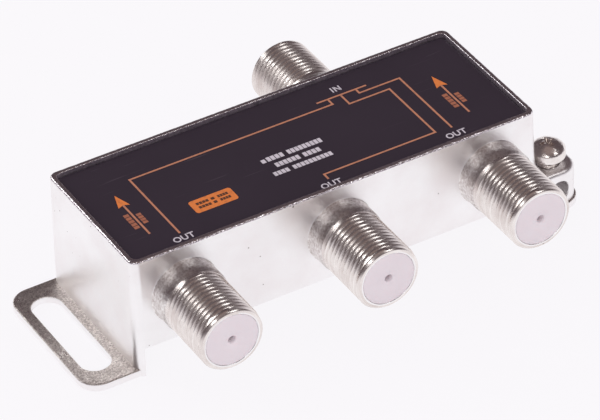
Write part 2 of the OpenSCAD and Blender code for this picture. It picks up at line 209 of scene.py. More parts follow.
post_step = 0.3
post_front = -11.454
post_back = -5.254
post_top = 6.5
post_edge = 0.8


def post_outline(inset):
    """Outline of the clamp post; only its front outer corner is round."""
    end = ear_end - post_step
    r = ear_r - post_step
    return ([(ear_root, post_front + inset)]
            + arc(end - r, post_front + r, r - inset, -90, 0)
            + [(end - inset, post_back - inset), (ear_root, post_back - inset)])


steps = [(0, over)] + soft_end(post_edge, post_top, 1)
post = ring_solid("clamp_post", [place_ring(post_outline(inset), z) for inset, z in steps])
combine(housing, post, "UNION")

wire_hole_r = 1.5
wire_hole_z = 3.35
screw_y = (post_front + post_back) / 2
screw_hole_r = 1.55
hole_edge = 0.2
ring = np.radians(np.arange(0, 360, 10))
wire_hole = []
for y, r in ((post_front - past, wire_hole_r + hole_edge), (post_front, wire_hole_r + hole_edge),
             (post_front + hole_edge, wire_hole_r), (post_back - hole_edge, wire_hole_r),
             (post_back, wire_hole_r + hole_edge), (post_back + past, wire_hole_r + hole_edge)):
    wire_hole.append([(slot_x + r * math.sin(t), y, wire_hole_z + r * math.cos(t)) for t in ring])
combine(housing, ring_solid("wire_hole", wire_hole), "DIFFERENCE")
screw_hole = []
for z, r in ((wire_hole_z, screw_hole_r), (post_top - hole_edge, screw_hole_r),
             (post_top, screw_hole_r + hole_edge), (post_top + 2 * past, screw_hole_r + hole_edge)):
    screw_hole.append(place_ring(arc(slot_x, screw_y, r, 0, 350, 35), z))
combine(housing, ring_solid("screw_hole", screw_hole), "DIFFERENCE")

# Housing: threaded sockets
# Four hollow barrels, cast with the box, with a 3/8-32 thread cut from the mouth inward. The
# cut starts sharply at the mouth's chamfer and runs out quickly before a plain shank, which is
# a little thicker and meets the wall in a small fillet. Each is bored for its insulator.
sockets = (("out_1", -23.4, -1), ("out_2", 0.0, -1), ("out_3", 23.4, -1), ("in", 11.7, 1))
port_z = 11.5
mouth_y = 24.3
thread_r = 4.7
pitch = 0.79375
thread_depth = 0.45
thread_turns = 10.7
thread_start = -3       # degrees round the socket
first_groove = 0.42
groove_half = 0.36
root_flat = 0.08        # share of the groove's half
entry_turns = 0.02
runout_turns = 0.18
thread_end = 9.3
lip_r = 4.3
chamfer_r = 4.36
chamfer_slope = 0.95
shank_r = 4.85
root_fillet = 0.15
wall_at = 12.447        # the wall's outside, behind the mouth
cavity_at = wall_at + wall
insul_seat_r = 3.87
spigot_seat_r = 2.22
seat_edge = 0.04
insul_l = 9.0
columns = 112
rows_per_pitch = 12
around = np.linspace(0, 2 * math.pi, columns, endpoint=False)


def socket_ring(socket, r, h):
    """Ring of a socket: r from its axis and h behind its mouth, each a number or one per column."""
    _name, x, side = socket
    r = r + 0 * around
    h = h + 0 * around
    return np.stack([x - side * r * np.sin(around), side * (mouth_y - h),
                     port_z + r * np.cos(around)], axis=1)


def wall_depth(r):
    """How far behind the mouth the leaning wall lies, for each column."""
    return mouth_y - body_d / 2 - lean(port_z + r * np.cos(around))


def groove(h):
    """Depth of the cut thread at h behind the mouth, for each column."""
    part_turn = np.mod(around - math.radians(thread_start), 2 * math.pi) / (2 * math.pi)
    turns = (h - first_groove) / pitch - part_turn
    nearest = np.clip(np.round(turns), 0, np.floor(thread_turns - part_turn))
    across = np.abs(turns - nearest) * pitch / groove_half
    vee = np.clip(1 + root_flat - across, 0, 1)
    # Half plain vee, half rounded, as plating fills the root a little
    vee = 0.5 * vee + 0.5 * vee * vee * (3 - 2 * vee)
    done = nearest + part_turn
    entry = np.clip(done / entry_turns, 0, 1)
    runout = np.clip((thread_turns - done) / runout_turns, 0, 1)
    return thread_depth * vee * entry * runout


for socket in sockets:
    rings = [socket_ring(socket, lip_r - 0.2, 0), socket_ring(socket, lip_r, 0)]
    for h in (0.03, 0.1, 0.2, 0.3, 0.4, 0.5):
        edge = min(thread_r, chamfer_r + h * chamfer_slope)
        rings.append(socket_ring(socket, np.minimum(edge, thread_r - groove(h)), h))
    for h in np.arange(0.56, thread_end, pitch / rows_per_pitch):
        rings.append(socket_ring(socket, thread_r - groove(h), h))
    for r, h in ((thread_r, thread_end + 0.1), (shank_r, thread_end + 0.4), (shank_r, 11.0)):
        rings.append(socket_ring(socket, r, h))
    for turn in np.radians(np.arange(0, 91, 22.5)):
        r = shank_r + root_fillet * (1 - math.cos(turn))
        rings.append(socket_ring(socket, r, wall_depth(r) - root_fillet * (1 - math.sin(turn))))
    rings.append(socket_ring(socket, shank_r + root_fillet + 0.1, wall_depth(shank_r) + 0.15))
    rings.append(socket_ring(socket, 4.0, wall_at + wall / 2))
    # The manifold solver is quick on the barrels' many faces.
    combine(housing, ring_solid("socket", rings), "UNION", "MANIFOLD")
    bore = [(insul_seat_r + seat_edge, -0.2), (insul_seat_r + seat_edge, 0),
            (insul_seat_r, seat_edge), (insul_seat_r, insul_l),
            (spigot_seat_r, insul_l), (spigot_seat_r, cavity_at + 0.4)]
    bore_rings = [socket_ring(socket, r, h) for r, h in bore]
    combine(housing, ring_solid("bore", bore_rings), "DIFFERENCE", "MANIFOLD")


# Housing: plating
# Bright nickel over the zinc. The leaning walls left the die smooth, while the ears, the rim and
# the shanks keep a grainy cast skin, and the threads are freshly cut metal under the plating.
def linear(hex_colour):
    """Turns an sRGB hex colour to Blender's linear one."""
    parts = [int(hex_colour[i:i + 2], 16) / 255 for i in (1, 3, 5)]
    return [c / 12.92 if c <= 0.04045 else ((c + 0.055) / 1.055) ** 2.4 for c in parts] + [1]


def per_mm(size):
    """Scale of a pattern whose repeat is the given number of millimetres."""
    return 1 / (size * MM)


def start_material(name):
    """Starts a material and gives it with its node tree and its shader."""
    material = bpy.data.materials.new(name)
    material.use_nodes = True
    return material, material.node_tree, material.node_tree.nodes["Principled BSDF"]


def add_node(tree, kind, settings=None, inputs=None):
    """Adds a node with its settings, and with values or links for its sockets."""
    node = tree.nodes.new(kind)
    for name, value in (settings or {}).items():
        setattr(node, name, value)
    for name, value in (inputs or {}).items():
        if isinstance(value, bpy.types.NodeSocket):
            tree.links.new(value, node.inputs[name])
        else:
            node.inputs[name].default_value = value
    return node


# On the walls the nickel mirrors the white sweep softly. On the ears and shanks it breaks into
# dark and bright grains, on the rim into sparks, and on the threads into a bright line per turn.
# The wall of the recess behind the rim is dull, and its colour is painted darker as painted shade
# in the recess.
#
# Each row is a kind of skin: size of its grain in millimetres along X, Y and Z, share of the
# colour's change that lies in the grain and not in clouds, size of the clouds, bright and dull
# colour, roughness where bright and where dull, and height of the grain in millimetres. The
# grains are drawn a few times coarser than real ones, on the rim the most, so that each one
# shows. The thread tool's fine rings round each socket are drawn at twice their real width.
skins = (
    ("nickel_plated_smooth_casting", (0.25, 0.25, 0.25), 0.1, 9.0, "#FFFEFE", "#FAF5F5",
     0.32, 0.42, 0.012),
    ("nickel_plated_grainy_casting", (0.22, 0.22, 0.22), 0.75, 2.2, "#FFF9F4", "#AEA39F",
     0.26, 0.42, 0.10),
    ("nickel_plated_cut_thread", (5.0, 0.1, 5.0), 0.5, 3.0, "#FAF5F1", "#DDD2CD",
     0.22, 0.32, 0.006),
    ("nickel_plated_worn_rim", (0.7, 0.7, 0.7), 0.1, 0.3, "#FFFBFD", "#B4AAB4",
     0.10, 0.30, 0.16),
    ("nickel_plated_cast_shank", (0.35, 0.35, 0.35), 0.7, 2.0, "#FFFCFA", "#C8BEBA",
     0.28, 0.42, 0.055),
    # The recess wall's darker bright and dull colours are painted shade.
    ("recess_wall_painted_shade", (0.3, 0.3, 0.3), 0.5, 1.5, "#D9CEDA", "#A097A4",
     0.60, 0.80, 0.10),
)
smooth_skin, ear_skin, thread_skin, rim_skin, shank_skin, shaded_recess_skin = range(6)
housing.data.materials.clear()
for name, grain_mm, grain_share, cloud_mm, bright, dull, smooth, rough, relief in skins:
    material, tree, shader = start_material(name)
    place = add_node(tree, "ShaderNodeTexCoord").outputs["Object"]
    stretched = add_node(tree, "ShaderNodeMapping", None, {
        "Vector": place, "Scale": [per_mm(size) for size in grain_mm]})
    grain = add_node(tree, "ShaderNodeTexNoise", None, {
        "Vector": stretched.outputs["Vector"], "Scale": 1.0, "Detail": 3.0, "Roughness": 0.6})
    cloud = add_node(tree, "ShaderNodeTexNoise", None, {
        "Vector": place, "Scale": per_mm(cloud_mm), "Detail": 5.0, "Roughness": 0.62})
    clouding = add_node(tree, "ShaderNodeMapRange", None, {
        "Value": cloud.outputs["Fac"], "From Min": 0.4, "From Max": 0.72})
    graining = add_node(tree, "ShaderNodeMapRange", None, {
        "Value": grain.outputs["Fac"], "From Min": 0.38, "From Max": 0.62})
    dulling = add_node(tree, "ShaderNodeMix", {"data_type": "FLOAT"}, {
        0: grain_share, 2: clouding.outputs["Result"], 3: graining.outputs["Result"]})
    # Dark pinholes in the plating, one here and there
    pits = add_node(tree, "ShaderNodeTexVoronoi", None, {
        "Vector": place, "Scale": per_mm(1.7), "Randomness": 1.0})
    pit_pick = add_node(tree, "ShaderNodeSeparateColor", None, {"Color": pits.outputs["Color"]})
    pit_size = add_node(tree, "ShaderNodeMapRange", None, {
        "Value": pit_pick.outputs["Red"], "From Min": 0.55, "From Max": 1.0, "To Max": 0.075})
    pit = add_node(tree, "ShaderNodeMath", {"operation": "LESS_THAN"}, {
        0: pits.outputs["Distance"], 1: pit_size.outputs["Result"]})
    tone = add_node(tree, "ShaderNodeMix", {"data_type": "RGBA"}, {
        "Factor": dulling.outputs[0], 6: linear(bright), 7: linear(dull)})
    colour = add_node(tree, "ShaderNodeMix", {"data_type": "RGBA"}, {
        "Factor": pit.outputs[0], 6: tone.outputs[2], 7: linear("#8C827C")})
    gloss = add_node(tree, "ShaderNodeMapRange", None, {
        "Value": cloud.outputs["Fac"], "From Min": 0.35, "From Max": 0.7,
        "To Min": smooth, "To Max": rough})
    bump = add_node(tree, "ShaderNodeBump", None, {
        "Strength": 1.0, "Distance": relief * MM, "Height": grain.outputs["Fac"]})
    tree.links.new(colour.outputs[2], shader.inputs["Base Color"])
    tree.links.new(gloss.outputs["Result"], shader.inputs["Roughness"])
    tree.links.new(bump.outputs["Normal"], shader.inputs["Normal"])
    shader.inputs["Metallic"].default_value = 1.0
    housing.data.materials.append(material)

# Each face takes its skin by where it lies.
mesh = housing.data
centres = np.zeros(len(mesh.polygons) * 3)
mesh.polygons.foreach_get("center", centres)
centres = centres.reshape(-1, 3) / MM
normals = np.zeros(len(mesh.polygons) * 3)
mesh.polygons.foreach_get("normal", normals)
normals = normals.reshape(-1, 3)
skin = np.full(len(centres), smooth_skin)
on_rim = centres[:, 2] > recess_z + 0.1
skin[on_rim] = rim_skin
inward = (normals[:, :2] * centres[:, :2]).sum(axis=1) < -0.5
# The rim's inward faces take the darker skin, painted shade in the recess.
skin[on_rim & inward & (normals[:, 2] < 0.3)] = shaded_recess_skin
on_ear = (centres[:, 2] > ear_t / 2) & (centres[:, 2] < ear_t + over)
skin[on_ear & (normals[:, 2] > 0.2)] = ear_skin
for _name, x, side in sockets:
    from_axis = np.hypot(centres[:, 0] - x, centres[:, 2] - port_z)
    depth = mouth_y - side * centres[:, 1]
    barrel = (from_axis < shank_r + 2 * root_fillet) & (from_axis > insul_seat_r + over)
    skin[barrel & (depth < thread_end)] = thread_skin
    skin[barrel & (depth > thread_end) & (depth < wall_at)] = shank_skin
mesh.polygons.foreach_set("material_index", skin)
mesh.shade_smooth()
mesh.set_sharp_from_angle(angle=math.radians(32))
even = housing.modifiers.new("even_shading", "WEIGHTED_NORMAL")
even.keep_sharp = True
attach(housing, "root")
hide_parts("housing")

# Insulators
# White moulded plugs pressed into the sockets, each with a shoulder, a spigot through the
# wall, and a hole in front for the plug's centre wire. The moulding leaves soft edges.
insul_r = 3.85
spigot_r = 2.2
pin_hole_r = 0.55
pin_hole_l = 2.0
contact_seat_r = 1.22
insul_end = cavity_at + 0.25
# Acetal looks a little milky, as light enters it, and its skin has a soft sheen.
material, tree, shader = start_material("white_moulded_acetal")
place = add_node(tree, "ShaderNodeTexCoord").outputs["Object"]
mottle = add_node(tree, "ShaderNodeTexNoise", None, {
    "Vector": place, "Scale": per_mm(2.5), "Detail": 3.0})
tone = add_node(tree, "ShaderNodeMix", {"data_type": "RGBA"}, {
    "Factor": mottle.outputs["Fac"], 6: linear("#F3EAED"), 7: linear("#EDE3E7")})
skin_grain = add_node(tree, "ShaderNodeTexNoise", None, {
    "Vector": place, "Scale": per_mm(0.3), "Detail": 2.0})
bump = add_node(tree, "ShaderNodeBump", None, {
    "Strength": 1.0, "Distance": 0.004 * MM, "Height": skin_grain.outputs["Fac"]})
tree.links.new(tone.outputs[2], shader.inputs["Base Color"])
tree.links.new(bump.outputs["Normal"], shader.inputs["Normal"])
shader.inputs["Roughness"].default_value = 0.38
shader.inputs["IOR"].default_value = 1.48
shader.inputs["Subsurface Weight"].default_value = 0.15
shader.inputs["Subsurface Radius"].default_value = (0.0008, 0.0006, 0.0006)
shader.inputs["Subsurface Scale"].default_value = 0.4
# Points (radius, depth behind the mouth) from the pin hole over the face and back inside
insul_profile = (
    (pin_hole_r, 0.16), (0.6, 0.06), (0.7, 0.0), (1.8, 0.0), (3.0, 0.0), (3.76, 0.0), (3.82, 0.02),
    (insul_r, 0.07), (insul_r, 8.8), (3.7, insul_l), (spigot_r, insul_l),
    (spigot_r, insul_end - 0.15), (spigot_r - 0.15, insul_end), (contact_seat_r, insul_end),
    (contact_seat_r, pin_hole_l), (pin_hole_r, pin_hole_l))
for socket in sockets:
    rings = [socket_ring(socket, r, h) for r, h in insul_profile]
    insulator = ring_solid("insulator_" + socket[0] + "_moulded", rings, loop=True)
    insulator.data.materials.append(material)
    insulator.data.shade_smooth()
    insulator.data.set_sharp_from_angle(angle=math.radians(50))
    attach(insulator, "root")
    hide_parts("insulator_" + socket[0])

# Contacts
# Turned phosphor bronze sleeves with two sprung leaves, which sit in the insulators with their
# tails on the board. A gold flash makes them warm yellow, dulled in places by turning marks.
material, tree, shader = start_material("gold_flashed_turned_bronze")
place = add_node(tree, "ShaderNodeTexCoord").outputs["Object"]
turning = add_node(tree, "ShaderNodeTexNoise", None, {
    "Vector": place, "Scale": per_mm(0.2), "Detail": 2.0})
gloss = add_node(tree, "ShaderNodeMapRange", None, {
    "Value": turning.outputs["Fac"], "To Min": 0.18, "To Max": 0.36})
tree.links.new(gloss.outputs["Result"], shader.inputs["Roughness"])
shader.inputs["Base Color"].default_value = linear("#D9B76A")
shader.inputs["Metallic"].default_value = 1.0
for name, _x, _side in sockets:
    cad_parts["contact_" + name].data.materials[0] = material

# Circuit board
# Glass fibre laminate, 1 mm thick, cut to fit inside the box and pushed up against its posts.
# The green mask has an even gloss, a little lighter over each thread of the glass weave.
material, tree, shader = start_material("green_masked_glass_fibre")
place = add_node(tree, "ShaderNodeTexCoord").outputs["Object"]
# A wave repeats every 6.28 / 20 of its scale. The 0.5 mm weave is drawn at 3.14 mm, to show.
weave_scale = per_mm(0.5) / 20
weave = add_node(tree, "ShaderNodeTexWave", {"bands_direction": "X"}, {
    "Vector": place, "Scale": weave_scale, "Distortion": 0.4})
cross_weave = add_node(tree, "ShaderNodeTexWave", {"bands_direction": "Y"}, {
    "Vector": place, "Scale": weave_scale, "Distortion": 0.4})
both = add_node(tree, "ShaderNodeMath", {"operation": "MULTIPLY"}, {
    0: weave.outputs["Fac"], 1: cross_weave.outputs["Fac"]})
tone = add_node(tree, "ShaderNodeMix", {"data_type": "RGBA"}, {
    "Factor": both.outputs[0], 6: linear("#2C5A3A"), 7: linear("#386B46")})
tree.links.new(tone.outputs[2], shader.inputs["Base Color"])
shader.inputs["Roughness"].default_value = 0.35
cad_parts["circuit_board"].data.materials[0] = material

# Ferrite cores
# Four two-hole cores of the splitting network and three spools of the power path, glued to the
# board. Sintered ferrite is matt charcoal. Its fine grains are drawn at 0.12 mm, to show.
material, tree, shader = start_material("sintered_ferrite")
place = add_node(tree, "ShaderNodeTexCoord").outputs["Object"]
grains = add_node(tree, "ShaderNodeTexNoise", None, {
    "Vector": place, "Scale": per_mm(0.12), "Detail": 3.0})
tone = add_node(tree, "ShaderNodeMix", {"data_type": "RGBA"}, {
    "Factor": grains.outputs["Fac"], 6: linear("#2E2D30"), 7: linear("#47464A")})
bump = add_node(tree, "ShaderNodeBump", None, {
    "Strength": 1.0, "Distance": 0.01 * MM, "Height": grains.outputs["Fac"]})
tree.links.new(tone.outputs[2], shader.inputs["Base Color"])
tree.links.new(bump.outputs["Normal"], shader.inputs["Normal"])
shader.inputs["Roughness"].default_value = 0.7
for name in ("matching_1_core", "splitting_1_core", "matching_2_core", "splitting_2_core",
             "choke_core_out_1", "choke_core_in", "choke_core_out_3"):
    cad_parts[name].data.materials[0] = material

# Windings
# Copper wire, wound by hand through the two-hole cores and by machine on the spools. Under its
# clear enamel the copper is a deep and glossy red brown.
material, tree, shader = start_material("enamelled_copper_wire")
place = add_node(tree, "ShaderNodeTexCoord").outputs["Object"]
enamel = add_node(tree, "ShaderNodeTexNoise", None, {
    "Vector": place, "Scale": per_mm(1.0), "Detail": 2.0})
tone = add_node(tree, "ShaderNodeMix", {"data_type": "RGBA"}, {
    "Factor": enamel.outputs["Fac"], 6: linear("#9A4A22"), 7: linear("#B8642F")})
tree.links.new(tone.outputs[2], shader.inputs["Base Color"])
shader.inputs["Metallic"].default_value = 0.8
shader.inputs["Roughness"].default_value = 0.3
shader.inputs["Coat Weight"].default_value = 0.6
for name in ("matching_1_winding", "splitting_1_winding", "matching_2_winding",
             "splitting_2_winding", "choke_winding_out_1", "choke_winding_in",
             "choke_winding_out_3"):
    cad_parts[name].data.materials[0] = material

# Capacitors
# Ceramic discs on two leads, dipped in an ochre resin. The dip dries glossy and a little
# uneven, so its highlights waver.
material, tree, shader = start_material("resin_dipped_ceramic")
place = add_node(tree, "ShaderNodeTexCoord").outputs["Object"]
dip = add_node(tree, "ShaderNodeTexNoise", None, {
    "Vector": place, "Scale": per_mm(1.5), "Detail": 3.0})
tone = add_node(tree, "ShaderNodeMix", {"data_type": "RGBA"}, {
    "Factor": dip.outputs["Fac"], 6: linear("#B67F38"), 7: linear("#C9944A")})
bump = add_node(tree, "ShaderNodeBump", None, {
    "Strength": 1.0, "Distance": 0.03 * MM, "Height": dip.outputs["Fac"]})
tree.links.new(tone.outputs[2], shader.inputs["Base Color"])
tree.links.new(bump.outputs["Normal"], shader.inputs["Normal"])
shader.inputs["Roughness"].default_value = 0.32
for name, _x, _side in sockets:
    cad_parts["capacitor_" + name].data.materials[0] = material

# Diodes and resistors
# Small axial parts on leads that bend to the board: black moulded diodes, and carbon film
# resistors in a beige lacquer. Both have a soft sheen that changes slightly over the part.
for kind, colour, roughness, names in (
        ("black_moulded_epoxy", "#1E1D20", 0.45, ("diode_out_1", "diode_out_3")),
        ("beige_resistor_lacquer", "#C8AD82", 0.4,
         ("isolation_resistor_1", "isolation_resistor_2"))):
    material, tree, shader = start_material(kind)
    place = add_node(tree, "ShaderNodeTexCoord").outputs["Object"]
    lacquer = add_node(tree, "ShaderNodeTexNoise", None, {
        "Vector": place, "Scale": per_mm(0.8), "Detail": 3.0})
    gloss = add_node(tree, "ShaderNodeMapRange", None, {
        "Value": lacquer.outputs["Fac"], "To Min": roughness - 0.1, "To Max": roughness + 0.1})
    bump = add_node(tree, "ShaderNodeBump", None, {
        "Strength": 1.0, "Distance": 0.01 * MM, "Height": lacquer.outputs["Fac"]})
    tree.links.new(gloss.outputs["Result"], shader.inputs["Roughness"])
    tree.links.new(bump.outputs["Normal"], shader.inputs["Normal"])
    shader.inputs["Base Color"].default_value = linear(colour)
    for name in names:
        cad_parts[name].data.materials[0] = material

# Back cover
# A tinned steel sheet, pressed so that its middle stands up into the box, and seated on the
# ledge in the box's mouth. The press leaves soft edges all round.
cover_z = 5.0
cover_t = 0.8
press_h = 0.4
cover_l = 58.96
cover_d = 20.76
least_corner_r = 0.3
low_turn = press_h * 0.15
high_turn = press_h * 0.85
# Steps (growth, height) from the middle of the underside round the edge to the middle of the top
cover_steps = (
    (-5.6, press_h), (-4.1, press_h), (-3.75, high_turn), (-3.3, low_turn), (-3.0, 0.0),
    (-0.3, 0.0), (-0.1, 0.05), (0.0, 0.2), (0.0, 0.6), (-0.1, 0.75), (-0.3, cover_t),
    (-2.6, cover_t), (-2.8, cover_t + low_turn), (-3.2, cover_t + high_turn),
    (-3.5, cover_t + press_h), (-5.6, cover_t + press_h))
rings = []
for grow, up in cover_steps:
    rings.append(wall_ring(cover_l + 2 * grow, cover_d + 2 * grow,
                           max(inner_r + grow, least_corner_r), cover_z + up,
                           lean(cover_z + cover_t)))
cover = ring_solid("back_cover_pressed", rings)
# Tin gives a soft grey mirror with streaks along the rolling and faint crystals.
material, tree, shader = start_material("tinned_pressed_steel")
place = add_node(tree, "ShaderNodeTexCoord").outputs["Object"]
rolling = add_node(tree, "ShaderNodeMapping", None, {
    "Vector": place, "Scale": (per_mm(25), per_mm(0.35), per_mm(0.35))})
streaks = add_node(tree, "ShaderNodeTexNoise", None, {
    "Vector": rolling.outputs["Vector"], "Scale": 1.0, "Detail": 4.0})
spangle = add_node(tree, "ShaderNodeTexVoronoi", None, {"Vector": place, "Scale": per_mm(3.5)})
tone = add_node(tree, "ShaderNodeMix", {"data_type": "RGBA"}, {
    "Factor": spangle.outputs["Distance"], 6: linear("#DCDBD8"), 7: linear("#C4C3C1")})
gloss = add_node(tree, "ShaderNodeMapRange", None, {
    "Value": streaks.outputs["Fac"], "To Min": 0.22, "To Max": 0.48})
bump = add_node(tree, "ShaderNodeBump", None, {
    "Strength": 1.0, "Distance": 0.012 * MM, "Height": streaks.outputs["Fac"]})
tree.links.new(tone.outputs[2], shader.inputs["Base Color"])
tree.links.new(gloss.outputs["Result"], shader.inputs["Roughness"])
tree.links.new(bump.outputs["Normal"], shader.inputs["Normal"])
shader.inputs["Metallic"].default_value = 1.0
cover.data.materials.append(material)
cover.data.shade_smooth()
cover.data.set_sharp_from_angle(angle=math.radians(45))
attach(cover, "root")
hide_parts("back_cover")

# Cover seam
# A bead of solder run round the cover's edge against the wall. It seals the box against
# radio noise, and shows the slow waves of a hand-held iron.
seam_w = 0.5
seam_h = 0.28
seam_gap = 0.02
seam_steps = 60
seam_r = inner_r + lean(cover_z)
corner_x = body_l / 2 - mouth_wall - seam_gap + lean(cover_z)
corner_y = body_d / 2 - mouth_wall - seam_gap + lean(cover_z)
corners = [Vector((corner_x * side_x, corner_y * side_y))
           for side_x, side_y in ((1, -1), (1, 1), (-1, 1), (-1, -1))]
path = []
for start, end in zip(corners, corners[1:] + corners[:1]):
    along = (end - start).normalized()
    inward = Vector((-along.y, along.x))
    reach = (end - start).length - 2 * seam_r
    for k in range(seam_steps):
        path.append((start + along * (seam_r + reach * k / (seam_steps - 1)), inward))
rings = []
for k, (point, inward) in enumerate(path):
    # Two slow waves of different length, so that the bead doesn't repeat
    wave = 0.8 + 0.14 * math.sin(k * 0.61) + 0.06 * math.sin(k * 1.73 + 1)
    width = seam_w * wave
    drop = seam_h * wave
    section = ((0, 0), (0, -drop), (0.3 * width, -0.55 * drop), (0.65 * width, -0.2 * drop),
               (width, 0))
    rings.append([(point.x + inward.x * across, point.y + inward.y * across, cover_z + up)
                  for across, up in section])
seam = ring_solid("cover_seam_soldered", rings, loop=True)
# Solder is bright where it froze slowly and frosted where it froze fast.
material, tree, shader = start_material("hand_run_solder")
place = add_node(tree, "ShaderNodeTexCoord").outputs["Object"]
frost = add_node(tree, "ShaderNodeTexNoise", None, {
    "Vector": place, "Scale": per_mm(0.4), "Detail": 4.0})
gloss = add_node(tree, "ShaderNodeMapRange", None, {
    "Value": frost.outputs["Fac"], "To Min": 0.2, "To Max": 0.5})
bump = add_node(tree, "ShaderNodeBump", None, {
    "Strength": 1.0, "Distance": 0.03 * MM, "Height": frost.outputs["Fac"]})
tree.links.new(gloss.outputs["Result"], shader.inputs["Roughness"])
tree.links.new(bump.outputs["Normal"], shader.inputs["Normal"])
shader.inputs["Base Color"].default_value = linear("#C9CBCE")
shader.inputs["Metallic"].default_value = 1.0
seam.data.materials.append(material)
seam.data.shade_smooth()
seam.data.set_sharp_from_angle(angle=math.radians(50))
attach(seam, "root")
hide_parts("cover_seam")

# Face plate
# A thin metal plate under a dark plum print with a satin clear coat, glued down behind the
# rim. Handling has left a few faint scratches in the coat.
plate_z = 17.85
plate_l = 59.9
plate_d = 21.7
plate_r = 0.825
rings = []
for inset, z in ((0.0, recess_z), (0.0, plate_z - 0.06), (0.02, plate_z - 0.02), (0.06, plate_z)):
    rings.append(wall_ring(plate_l - 2 * inset, plate_d - 2 * inset, plate_r - inset, z))
plate = ring_solid("face_plate_printed", rings)
# The clear coat mirrors the dark room, so the plum print looks deep and almost black.
material, tree, shader = start_material("satin_plum_screen_print")
place = add_node(tree, "ShaderNodeTexCoord").outputs["Object"]
patch = add_node(tree, "ShaderNodeTexNoise", None, {
    "Vector": place, "Scale": per_mm(14), "Detail": 2.0})
tone = add_node(tree, "ShaderNodeMix", {"data_type": "RGBA"}, {
    "Factor": patch.outputs["Fac"], 6: linear("#322A33"), 7: linear("#39303A")})
scratch_way = add_node(tree, "ShaderNodeMapping", None, {
    "Vector": place, "Rotation": (0, 0, 0.6), "Scale": (per_mm(9), per_mm(0.5), per_mm(1))})
scratches = add_node(tree, "ShaderNodeTexNoise", None, {
    "Vector": scratch_way.outputs["Vector"], "Scale": 1.0, "Detail": 2.0})
scratch = add_node(tree, "ShaderNodeMapRange", None, {
    "Value": scratches.outputs["Fac"], "From Min": 0.68, "From Max": 0.78})
colour = add_node(tree, "ShaderNodeMix", {"data_type": "RGBA"}, {
    "Factor": scratch.outputs["Result"], 6: tone.outputs[2], 7: linear("#443B44")})
gloss = add_node(tree, "ShaderNodeMapRange", None, {
    "Value": patch.outputs["Fac"], "To Min": 0.17, "To Max": 0.23})
peel = add_node(tree, "ShaderNodeTexNoise", None, {
    "Vector": place, "Scale": per_mm(0.8), "Detail": 1.0})
bump = add_node(tree, "ShaderNodeBump", None, {
    "Strength": 1.0, "Distance": 0.004 * MM, "Height": peel.outputs["Fac"]})
tree.links.new(colour.outputs[2], shader.inputs["Base Color"])
tree.links.new(gloss.outputs["Result"], shader.inputs["Roughness"])
tree.links.new(bump.outputs["Normal"], shader.inputs["Normal"])
shader.inputs["IOR"].default_value = 1.5
plate.data.materials.append(material)
plate.data.shade_smooth()
plate.data.set_sharp_from_angle(angle=math.radians(20))
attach(plate, "root")
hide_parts("face_plate")

# Print on the face
# Screen-printed ink, a little raised: orange lines from the input to the outputs, an arrow beside
# each output that passes power, an orange field, rows of plain bars, and IN and OUT in white.
ink_t = 0.02
line_w = 0.28
bar_share = 0.82
bar_pitch = 0.62
letter_w = 0.19
arrow_half = 0.85
arrow_l = 2.4
arrow_barb = 0.35
stem_end = 9.7


def stroke(points, width):
    """Outline of a line of even width through the points, with mitred corners."""
    left = []
    right = []
    for k, point in enumerate(points):
        p = Vector(point)
        before = (p - Vector(points[k - 1])).normalized() if k else None
        after = (Vector(points[k + 1]) - p).normalized() if k < len(points) - 1 else None
        way = ((before or after) + (after or before)).normalized()
        normal = Vector((-way.y, way.x))
        turn = (after or before).dot(way)
        left.append(p + normal * width / 2 / turn)
        right.append(p - normal * width / 2 / turn)
    return [tuple(p) for p in right + left[::-1]]


def bar(x0, y0, x1, y1):
    """Outline of a plain bar between two corners."""
    return [(x0, y0), (x1, y0), (x1, y1), (x0, y1)]


def bars(x0, y0, x1, y1, count):
    """Row of short plain bars with narrow gaps, set along its longer side."""
    shapes = []
    for k in range(count):
        a = k / count
        b = (k + bar_share) / count
        if x1 - x0 > y1 - y0:
            shapes.append(bar(x0 + (x1 - x0) * a, y0, x0 + (x1 - x0) * b, y1))
        else:
            shapes.append(bar(x0, y0 + (y1 - y0) * a, x1, y0 + (y1 - y0) * b))
    return shapes


# The lines, each as its corners on the plate
line_shapes = [
    stroke([(7.55, 6.72), (15.3, 6.72)], line_w),
    stroke([(-21.87, -8.35), (-21.87, 5.38), (9.27, 5.38), (9.27, 6.54)], line_w),
    stroke([(11.24, 6.54), (11.24, 4.25), (17.5, 4.25), (17.5, -7.58), (0.3, -7.58), (0.3, -8.75)],
           line_w),
    stroke([(13.63, 6.54), (13.63, 5.67), (19.93, 5.67), (19.93, -7.85)], line_w)]
# The orange field with two rows of bars on it
field_r = 0.4
solid_shapes = [arc(-17.5, -5.6, field_r, 180, 270, 4) + arc(-12.0, -5.6, field_r, 270, 360, 4)
                + arc(-12.0, -3.6, field_r, 0, 90, 4) + arc(-17.5, -3.6, field_r, 90, 180, 4)]
field_shapes = []
for x0, x1, count in ((-17.1, -15.2, 4), (-14.9, -14.3, 1), (-13.9, -12.3, 4)):
    for y0 in (-5.25, -4.4):
        field_shapes += bars(x0, y0, x1, y0 + 0.5, count)
# The arrows, with a column of bars on either side of each stem
faded_shapes = []
for arrow_x, tip_y in ((-25.22, 3.35), (23.77, 3.6)):
    line_shapes.append(stroke([(arrow_x, tip_y - stem_end), (arrow_x, tip_y - arrow_l)], line_w))
    barb_y = tip_y - arrow_l - arrow_barb
    solid_shapes.append([(arrow_x - arrow_half, barb_y), (arrow_x, tip_y - arrow_l),
                         (arrow_x + arrow_half, barb_y), (arrow_x, tip_y)])
    faded_shapes += bars(arrow_x - 1.15, tip_y - 7.9, arrow_x - 0.4, tip_y - 4.3, 5)
    faded_shapes += bars(arrow_x + 0.42, tip_y - 7.4, arrow_x + 1.12, tip_y - 4.9, 4)
